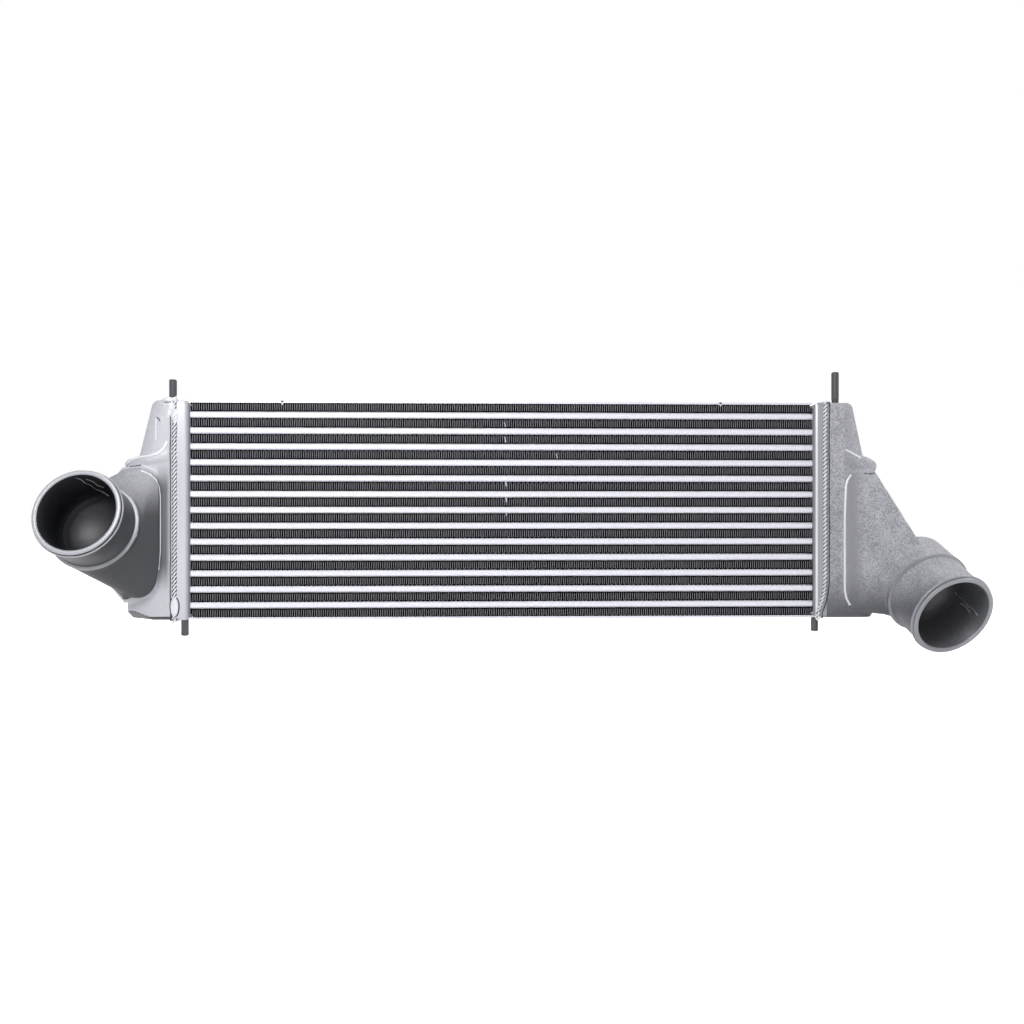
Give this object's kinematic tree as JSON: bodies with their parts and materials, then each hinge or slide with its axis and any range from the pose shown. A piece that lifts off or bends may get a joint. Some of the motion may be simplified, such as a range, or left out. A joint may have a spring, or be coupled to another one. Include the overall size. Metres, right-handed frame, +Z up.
{
  "type": "intercooler",
  "caption": "Tube-and-fin intercooler with cast aluminium end tanks, slanted beaded hose spigots on one side and steel mounting pins above and below.",
  "frame": {"origin": "where the lower left mounting pin leaves the underside of its tank, on the pin's axis", "axes": "+X along the core from the left tank to the right tank, +Y away from the side that the hose spigots face, +Z up along the pins"},
  "size_m": [0.9326, 0.1637, 0.291],
  "materials": {
    "tube_sheet": "satin rolled sheet",
    "fin_strip": "dark matt strip",
    "side_sheet": "satin rolled sheet",
    "pan_sheet": "satin pressed sheet",
    "weld": "rippled weld metal",
    "casting": "matt sand casting",
    "pin_steel": "dark plain steel"
  },
  "bodies": {
    "root": {"tube_01": "tube_sheet", "tube_02": "tube_sheet", "tube_03": "tube_sheet", "tube_04": "tube_sheet", "tube_05": "tube_sheet", "tube_06": "tube_sheet", "tube_07": "tube_sheet", "tube_08": "tube_sheet", "tube_09": "tube_sheet", "tube_10": "tube_sheet", "tube_11": "tube_sheet", "tube_12": "tube_sheet", "tube_13": "tube_sheet", "inner_fin_01": "fin_strip", "inner_fin_02": "fin_strip", "inner_fin_03": "fin_strip", "inner_fin_04": "fin_strip", "inner_fin_05": "fin_strip", "inner_fin_06": "fin_strip", "inner_fin_07": "fin_strip", "inner_fin_08": "fin_strip", "inner_fin_09": "fin_strip", "inner_fin_10": "fin_strip", "inner_fin_11": "fin_strip", "inner_fin_12": "fin_strip", "inner_fin_13": "fin_strip", "air_fin_01": "fin_strip", "air_fin_02": "fin_strip", "air_fin_03": "fin_strip", "air_fin_04": "fin_strip", "air_fin_05": "fin_strip", "air_fin_06": "fin_strip", "air_fin_07": "fin_strip", "air_fin_08": "fin_strip", "air_fin_09": "fin_strip", "air_fin_10": "fin_strip", "air_fin_11": "fin_strip", "air_fin_12": "fin_strip", "air_fin_13": "fin_strip", "air_fin_14": "fin_strip", "side_plate_top": "side_sheet", "side_plate_bottom": "side_sheet", "header_pan_left": "pan_sheet", "weld_bead_left": "weld", "cast_tank_left": "casting", "upper_pin_left": "pin_steel", "lower_pin_left": "pin_steel", "header_pan_right": "pan_sheet", "weld_bead_right": "weld", "cast_tank_right": "casting", "upper_pin_right": "pin_steel", "lower_pin_right": "pin_steel"}
  },
  "joints": []
}
